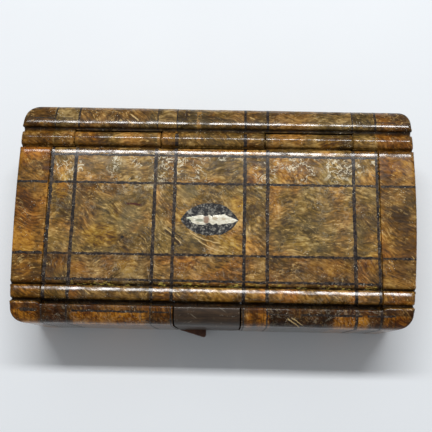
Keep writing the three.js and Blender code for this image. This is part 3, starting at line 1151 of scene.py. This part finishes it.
def burr_wood():
    finish = Finish("burr wood under old varnish")
    place = finish.place
    cell = veneer_cells(finish)
    random, another = finish.chance(cell), finish.chance(cell + 50.5)
    shift = random * 40
    drift = finish.noise(place, 0.15, 1, 0.5, shift, output="Color")
    drift = finish.vector("SUBTRACT", drift, (0.5, 0.5, 0.5))
    warped = finish.vector("ADD", place, finish.vector("SCALE", drift, scale=5))
    along = finish.turned(warped, (random - 0.5) * 1.3 + 0.5)
    broad = finish.noise(warped, 0.2, 3, 0.5, shift)
    streaks = finish.noise(finish.stretched(along, (0.55, 1.9, 2)), 0.7, 4, 0.65, shift + 3)
    threads = finish.noise(finish.stretched(along, (0.5, 2.2, 2)), 1.25, 2, 0.6, shift + 6)
    mottle = finish.noise(place, 1.1, 3, 0.65, shift + 21)
    tone = (broad - 0.5) * 1.1 + (streaks - 0.5) * 0.9 + (threads - 0.5) * 0.8 + (mottle - 0.5) * 0.5
    tone = tone + (another - 0.5) * 0.1 + 0.524
    colour = finish.ramp(tone, [(0.24, DARK_BROWN), (0.45, BROWN), (0.61, TAN), (0.86, PALE_STROKE)])
    glowing = finish.ramp(tone, AMBER_STOPS)
    patchy = finish.noise(warped, 0.17, 3, 0.5, shift + 9)
    gold = strongest([patchy.smooth(0.53, 0.7) * 0.8, spots(finish, GOLDEN, 0.25)])
    colour = finish.mix(gold * 0.85, colour, glowing)
    dull = strongest([spots(finish, DULL, 0.2), finish.noise(place, 0.1, 2, 0.5, 21).smooth(0.5, 0.7) * 0.6])
    colour = finish.mix(dull * 0.5, colour, (0.125, 0.105, 0.05))
    knots = finish.noise(warped, 0.3, 4, 0.65, shift + 12).smooth(0.56, 0.7)
    dark = strongest([knots * 0.75, spots(finish, DARK, 0.2) * 0.6])
    colour = finish.mix(dark * 0.8, colour, DARK_STROKE)
    warmth = finish.noise(warped, 0.13, 2, 0.5, shift + 27)
    colour = finish.mix(warmth.smooth(0.49, 0.62) * 0.8, colour, (1.12, 0.88, 0.62), "MULTIPLY")
    colour = finish.mix(warmth.smooth(0.49, 0.36) * 0.8, colour, (0.84, 0.93, 1.0), "MULTIPLY")
    colour = zone_tint_and_sheen(finish, colour)
    front_rail = finish.y < rail_inner
    amber_rail = strongest([between(finish.x, start, end, 0.5) for start, end in AMBER_RAIL])
    below_line = finish.y.smooth(front_rail_string - half_depth + 0.3, front_rail_string - half_depth - 0.1)
    amber_rail = amber_rail * (below_line * 0.75 + 0.15)
    colour = finish.mix(front_rail * amber_rail, colour, finish.mix(1, glowing, (0.8, 0.56, 0.3), "MULTIPLY"))
    comb = finish.noise(finish.stretched(place, (3.2, 0.3, 0.3)), 0.8, 3, 0.6, 33).smooth(0.5, 0.62)
    colour = finish.mix(front_rail * comb * 0.6, colour, DARK_STROKE)
    clusters = finish.noise(place, 0.42, 3, 0.6, shift + 18)
    light_threads = threads.smooth(0.59, 0.67) * clusters.smooth(0.44, 0.6) * 0.8
    curl = finish.noise(warped, 0.75, 2, 0.6, shift + 15, 1.2)
    curls = abs(curl - 0.5).smooth(0.04, 0.01) * clusters.smooth(0.52, 0.64) * 0.35
    colour = finish.mix(threads.smooth(0.41, 0.33) * clusters.smooth(0.62, 0.42) * 0.45, colour, DARK_STROKE)
    colour = finish.mix(strongest([light_threads, curls]) * (1 - front_rail * 0.7), colour, PALE_STROKE)
    # The bottoms of the mouldings darkened: settled dirt and painted shade.
    colour = finish.mix(groove_dirt_and_shade(finish), colour, (0.012, 0.007, 0.003))
    colour = with_marks(finish, colour)
    # Cream curls of crazed varnish, painted as glints of the lamp toward the rear of the lid.
    crackle_glints = crackle_and_glints(finish)
    colour = finish.mix(crackle_glints * 0.85, colour, CREAM_GLINT)
    glints = groove_glints(finish)
    colour = finish.mix(glints * 0.85, colour, (0.72, 0.56, 0.11))
    scratch = scratches(finish)
    specks = dust_specks(finish)
    colour = finish.mix(scratch * 0.3, colour, DUST)
    colour = finish.mix(specks * 0.7, colour, (0.8, 0.72, 0.55))
    inside = inside_mask(finish)
    plain = finish.ramp(
        finish.noise(finish.stretched(place, (0.12, 1.6, 1.6)), 1.1, 5, 0.6),
        [(0.3, (0.075, 0.036, 0.014)), (0.7, (0.16, 0.085, 0.035))],
    )
    colour = finish.mix(inside, colour, plain)
    worn_gloss = finish.noise(place, 0.6, 4, 0.6, 17)
    thick = finish.noise(finish.stretched(place, (0.5, 1.4, 1)), 0.8, 4, 0.7, 51)
    varnish = thick.smooth(0.38, 0.6) * 0.85 + 0.15
    varnish = varnish * (finish.x.smooth(-38, -29) * 0.6 + 0.4)
    varnish = varnish * (1 - front_rail * finish.z.smooth(height - 2.4, height - 1.4) * 0.65)
    varnish = strongest([varnish, front_rail * finish.z.smooth(height - 1.6, height - 2.6)])
    waves = finish.noise(place, 0.7, 3, 0.6, 44)
    peel = finish.noise(place, 2.4, 3, 0.6, 40)
    drops = spots(finish, DROPS, 0.4)
    relief = waves * 1.1 + peel * 0.75 + threads * 0.35 + crackle_glints * 0.25 + scratch * -0.3 + drops * 0.8
    return finish.finish(
        {
            "Base Color": colour,
            "Roughness": 0.5 + (worn_gloss - 0.5) * 0.3 + inside * 0.2,
            "Specular IOR Level": 0.08,
            "Coat Weight": varnish * (0.95 - inside * 0.75),
            "Coat Roughness": 0.13,
            "Coat IOR": 1.5,
        },
        relief,
        0.8,
        0.0001,
    )


def with_marks(finish, colour):
    """The cracks, the pit, the scar and the scratches that catch the eye on the lid and the rails."""
    crack = stroke(finish, (-19.4, 1.5), (-15.6, 1.1), 0.3, 0.1)
    colour = finish.mix(crack * 0.95, colour, (0.06, 0.01, 0.007))
    pit = spot(finish, -19.7, -5.9, 0.5, 0.42, 0.3)
    colour = finish.mix(pit * 0.95, colour, (0.008, 0.005, 0.004))
    scar = strongest([
        stroke(finish, (-10.9, -3.9), (-6.9, -7.9), 0.42, 0.2),
        stroke(finish, (-10.2, -3.4), (-6.4, -6.6), 0.2, 0.15),
    ])
    colour = finish.mix(scar * 0.9, colour, (0.03, 0.015, 0.006))
    pale = strongest([
        stroke(finish, (-5.4, -4.3), (1.6, -6.9), 0.16, -0.55),
        stroke(finish, (-4.4, -5.4), (2.6, -8.8), 0.13, -0.6),
        stroke(finish, (-10.9, -3.5), (-6.8, -7.3), 0.12, 0.2),
        stroke(finish, (-19.6, 22.5), (-17.2, 20.4), 0.2, 0.1),
        stroke(finish, (15.6, -22.4), (18.6, -24.3), 0.14, 0),
        stroke(finish, (16.5, -22.3), (19.3, -24.0), 0.12, 0),
    ])
    colour = finish.mix(pale * 0.8, colour, (0.66, 0.46, 0.2))
    astray = finish.x + finish.noise(finish.place, 0.5, 2, 0.5, 73)
    streak = between(astray, -3.8, -2.9, 0.15) * (finish.y > lid_rear)
    streak = streak * finish.noise(finish.place, 0.7, 2, 0.5, 74).smooth(0.42, 0.55)
    return finish.mix(streak * 0.5, colour, (0.42, 0.2, 0.03))


def crackle_and_glints(finish):
    """Pale curls of crazed varnish, stronger toward the rear of the lid, where they are painted glints of the
    lamp.
    """
    place = finish.place
    lines = finish.noise(place, 0.5, 2, 0.55, 61, 1.8)
    curls = abs(lines - 0.5).smooth(0.042, 0.012) * finish.noise(place, 0.6, 2, 0.6, 62).smooth(0.42, 0.52)
    where = finish.noise(place, 0.2, 3, 0.5, 63).smooth(0.42, 0.56)
    toward_rear = finish.y.smooth(3, 11) * 0.85 + 0.12
    on_field = finish.y.smooth(field_rear + 0.3, field_rear - 0.2)
    return curls * where * toward_rear * on_field * (abs(finish.x) < lid_right)


def groove_glints(finish):
    """Yellow glints of thick varnish along the groove behind the bead."""
    fine = finish.noise(finish.stretched(finish.place, (0.8, 2.4, 1)), 1.5, 2, 0.6, 81).smooth(0.54, 0.6)
    where = finish.noise(finish.place, 0.3, 3, 0.5, 83).smooth(0.42, 0.54)
    groove = between(finish.y, field_front - 0.75, field_front - 0.05, 0.12)
    return fine * where * groove * between(finish.x, -31, lid_right, 0.5)


def groove_dirt_and_shade(finish):
    """One in the bottoms of the mouldings, darker the deeper the surface lies: settled dirt and painted shade."""
    deep = (finish.z - height + 0.42).smooth(0.2, -0.3)
    on_top = finish.z.smooth(height - 3, height - 2.2)
    front = ((finish.y - field_front + 0.42) * (finish.y - field_front + 0.42)).smooth(0.5, 0.08)
    valley = between(finish.y, rail_inner - 0.05, lid_front + 0.45, 0.12)
    rear = ((finish.y - lid_rear - 0.15) * (finish.y - lid_rear - 0.15)).smooth(0.45, 0.05)
    behind = ((finish.y - rear_rail_inner - 0.1) * (finish.y - rear_rail_inner - 0.1)).smooth(0.4, 0.12)
    grooves = front.maths("MAXIMUM", front, valley)
    hinge_grooves = strongest([rear * 0.5, behind * 0.68])
    return deep * on_top * grooves.maths("MAXIMUM", grooves, hinge_grooves) * 0.95


def scratches(finish):
    """Thin pale scratches in two directions, thinned out over the lid."""
    found = None
    for turn, shift in ((0.6, 3), (-0.5, 8), (1.4, 13)):
        lines = finish.noise(
            finish.stretched(finish.turned(finish.place, turn), (0.12, 5, 1)), 1.0, 2, 0.5, shift
        ).smooth(0.66, 0.72)
        mask = finish.noise(finish.place, 0.3, 2, 0.5, shift + 1).smooth(0.5, 0.6)
        found = lines * mask if found is None else found.maths("MAXIMUM", found, lines * mask)
    return found


def dust_specks(finish):
    """Pale grains of dust, in clusters."""
    near = finish.cells(finish.place, 2.3)
    where = finish.noise(finish.place, 0.33, 2, 0.5, 91).smooth(0.55, 0.66)
    return near.smooth(0.24, 0.12) * where


def inside_mask(finish):
    """One on the walls and floor of the cavity and under the lid."""
    x_in = finish.x.smooth(lid_left + 0.5, lid_left + 1) * finish.x.smooth(lid_right - 0.5, lid_right - 1)
    y_in = finish.y.smooth(rail_inner + 0.9, rail_inner + 1.4) * finish.y.smooth(lid_rear + 0.4, lid_rear + 0.2)
    under_lid = finish.z.smooth(lid_under + 0.35, lid_under + 0.15)
    over_floor = finish.z.smooth(floor_thickness - 0.5, floor_thickness - 0.2)
    return x_in * y_in * (under_lid * over_floor)


def dark_wood(name, tint):
    finish = Finish(name)
    place = finish.place
    drift = finish.noise(place, 0.2, 2, output="Color")
    warped = finish.vector("ADD", place, finish.vector("SCALE", drift, scale=1.5))
    grain = finish.noise(finish.stretched(warped, (0.12, 1, 1.8)), 1.6, 5, 0.65)
    broad = finish.noise(place, 0.3, 3, 0.5, 5)
    colour = finish.ramp(
        grain * 0.7 + broad * 0.3,
        [(0.36, tuple(0.35 * part for part in tint)), (0.52, tint), (0.68, tuple(2.1 * part for part in tint))],
    )
    scratch = scratches(finish)
    specks = dust_specks(finish)
    colour = finish.mix(scratch * 0.3, colour, DUST)
    colour = finish.mix(specks * 0.5, colour, (0.6, 0.55, 0.46))
    relief = grain * 0.8 + finish.noise(place, 1.3, 4, 0.6, 40) * 0.7
    return finish.finish(
        {
            "Base Color": colour,
            "Roughness": 0.45 + broad * 0.15,
            "Specular IOR Level": 0.25,
            "Coat Weight": 0.3,
            "Coat Roughness": 0.14,
        },
        relief,
        0.5,
        0.00006,
    )


STRING_STOPS = [(0.4, (0.003, 0.002, 0.002)), (0.52, (0.022, 0.015, 0.013)), (0.64, (0.15, 0.12, 0.09))]
PLAQUE_STOPS = [(0.4, (0.005, 0.005, 0.007)), (0.51, (0.032, 0.032, 0.034)), (0.62, (0.36, 0.34, 0.28))]


def black_inlay(name, stops, brown_share):
    """Blackened wood, blotched with brown and flecked with grey."""
    finish = Finish(name)
    place = finish.place
    cloud = finish.noise(place, 0.8, 4, 0.6)
    fine = finish.noise(place, 2.1, 4, 0.7, 3)
    colour = finish.ramp(cloud * 0.4 + fine * 0.6, stops)
    flecks = finish.cells(place, 2.1).smooth(0.3, 0.14) * finish.noise(place, 0.7, 2, shift=9).smooth(0.48, 0.6)
    colour = finish.mix(flecks * 0.7, colour, (0.5, 0.46, 0.36))
    brown = finish.noise(place, 0.9, 3, 0.6, 12).smooth(0.5, 0.64)
    colour = finish.mix(brown * brown_share, colour, (0.085, 0.048, 0.018))
    rails = strongest([finish.y < rail_inner, finish.y > rear_rail_inner])
    colour = finish.mix(rails * 0.3, colour, (0.02, 0.01, 0.004))
    return finish.finish(
        {
            "Base Color": colour,
            "Roughness": 0.5 + fine * 0.15,
            "Specular IOR Level": 0.06,
            "Coat Weight": 0.55,
            "Coat Roughness": 0.15,
        },
        cloud * 0.8 + fine * 0.6,
        0.7,
        0.00008,
    )


def worn_bone():
    finish = Finish("worn bone")
    place = finish.place
    fine = finish.noise(finish.stretched(place, (0.6, 3, 1)), 2.2, 4, 0.6)
    colour = finish.ramp(fine, [(0.34, (0.42, 0.35, 0.22)), (0.5, (0.7, 0.65, 0.5)), (0.64, (0.9, 0.88, 0.76))])
    centre = (bone_low + bone_high) / 2
    blotches = finish.noise(place, 1.4, 3, 0.6, 5)
    stain = spot(finish, centre.x - 1.05, centre.y + 0.05, 0.85, 1.1, 0.3) * blotches.smooth(0.3, 0.46)
    colour = finish.mix(stain * 0.95, colour, (0.2, 0.09, 0.03))
    small_stains = [
        (centre.x + 0.85, centre.y + 0.3, 0.75, 0.45),
        (centre.x + 2.7, centre.y + 0.25, 0.6, 0.34),
    ]
    colour = finish.mix(spots(finish, small_stains, 0.2) * 0.75, colour, (0.33, 0.21, 0.08))
    shade = spot(finish, centre.x - 2.5, centre.y - 0.1, 1.1, 0.46, 0.2)
    colour = finish.mix(shade * 0.85, colour, (0.14, 0.15, 0.08))
    tip = finish.x.smooth(bone_low.x + 1.6, bone_low.x)
    colour = finish.mix(tip * 0.6, colour, (0.5, 0.55, 0.36))
    pits = finish.cells(place, 2.2).smooth(0.2, 0.1) * (finish.x > centre.x)
    colour = finish.mix(pits * 0.7, colour, (0.25, 0.22, 0.14))
    return finish.finish({"Base Color": colour, "Roughness": 0.42, "Coat Weight": 0.3}, fine, 0.4, 0.00004)


def brass_wire():
    finish = Finish("dull brass wire")
    tarnish = finish.noise(finish.place, 0.8, 4, 0.6)
    colour = finish.ramp(tarnish, [(0.35, (0.12, 0.08, 0.035)), (0.65, (0.42, 0.31, 0.14))])
    return finish.finish({"Base Color": colour, "Metallic": 1.0, "Roughness": 0.3 + tarnish * 0.3})


def pale_floor():
    finish = Finish("pale floor")
    grain = finish.noise(finish.place, 0.02, 3)
    colour = finish.ramp(grain, [(0.3, (0.80, 0.83, 0.86)), (0.7, (0.82, 0.85, 0.88))])
    return finish.finish({"Base Color": colour, "Roughness": 0.7})


# Setting


def smoothed(piece, angle=32):
    piece.data.shade_smooth()
    piece.data.set_sharp_from_angle(angle=math.radians(angle))


def placed(piece, body, material, nodes):
    piece.data.materials.clear()
    piece.data.materials.append(material)
    smoothed(piece)
    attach(piece, body)
    if nodes:
        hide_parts(*nodes)


def build_pieces():
    wood = burr_wood()
    dark = dark_wood("dark straight wood", (0.037, 0.02, 0.009))
    reddish = dark_wood("dark red wood", (0.1, 0.034, 0.014))
    black = black_inlay("black stringing", STRING_STOPS, 0.7)
    plaque_black = black_inlay("black plaque", PLAQUE_STOPS, 0.15)
    bone = worn_bone()
    box, block = box_and_front_block()
    lid = lid_with_knuckles()
    placed(box, "box", wood, ["box_body"])
    placed(block, "box", dark, ["front_block"])
    placed(lid, "lid", wood, ["lid"])
    placed(sliver_mesh(), "box", reddish, [])
    for node, piece in all_stringing().items():
        placed(piece, "lid" if node == "lid_stringing" else "box", black, [node])
    plaque = patch("plaque_black", plaque_outline(), 0.03, 0, 0.4)
    lozenge = patch("lozenge_bone", lozenge_outline(), 0.06, 0.05, 0.3)
    placed(plaque, "lid", plaque_black, ["plaque"])
    placed(lozenge, "lid", bone, ["bone_lozenge"])
    pin = frame["nodes"]["hinge_pin"]
    pin.data.materials.clear()
    pin.data.materials.append(brass_wire())


# Studio

camera_place = (3.76, -31.4, 158)
camera_yaw, camera_pitch, camera_roll = 6.3, 12.6, -5.2
focal_pixels = 650
frame_pixels = 432
sensor_width = 36
floor_reach = 900
lamp_distance = 500
lamp_lean = 24.5
lamp_length = 420
lamp_width = 46
lamp_power = 2.08
sky_strength = 0.325


def add_camera():
    data = bpy.data.cameras.new("camera")
    data.sensor_width = sensor_width
    data.lens = focal_pixels / frame_pixels * sensor_width
    data.clip_start = 0.001
    camera = bpy.data.objects.new("camera", data)
    bpy.context.scene.collection.objects.link(camera)
    turns = [math.radians(angle) for angle in (camera_yaw, camera_pitch, camera_roll)]
    yaw, pitch, roll = (Matrix.Rotation(turn, 4, axis) for turn, axis in zip(turns, "ZXZ"))
    camera.matrix_world = Matrix.Translation(Vector(camera_place) * MM) @ yaw @ pitch @ roll
    bpy.context.scene.camera = camera


def add_lamp():
    data = bpy.data.lights.new("lamp", "AREA")
    data.shape = "RECTANGLE"
    data.size = lamp_length * MM
    data.size_y = lamp_width * MM
    data.energy = lamp_power
    lamp = bpy.data.objects.new("lamp", data)
    lean = math.radians(lamp_lean)
    lamp.location = Vector((0, math.sin(lean), math.cos(lean))) * lamp_distance * MM
    lamp.rotation_euler = (-lean, 0, 0)
    bpy.context.scene.collection.objects.link(lamp)


def add_surroundings():
    world = bpy.data.worlds.new("studio")
    world.use_nodes = True
    background = world.node_tree.nodes["Background"]
    background.inputs["Color"].default_value = (0.96, 0.98, 1, 1)
    background.inputs["Strength"].default_value = sky_strength
    bpy.context.scene.world = world
    reach = floor_reach
    count = 24
    points, faces = [], []
    for row in range(count + 1):
        for column in range(count + 1):
            points.append(Vector((reach * (2 * column / count - 1), reach * (2 * row / count - 1), 0)))
    for row in range(count):
        for column in range(count):
            first = row * (count + 1) + column
            faces.append((first, first + 1, first + count + 2, first + count + 1))
    floor = mesh_object("floor", points, faces)
    floor.data.materials.append(pale_floor())
    scene = bpy.context.scene
    scene.view_settings.view_transform = "Standard"


add_camera()
add_lamp()
add_surroundings()
build_pieces()
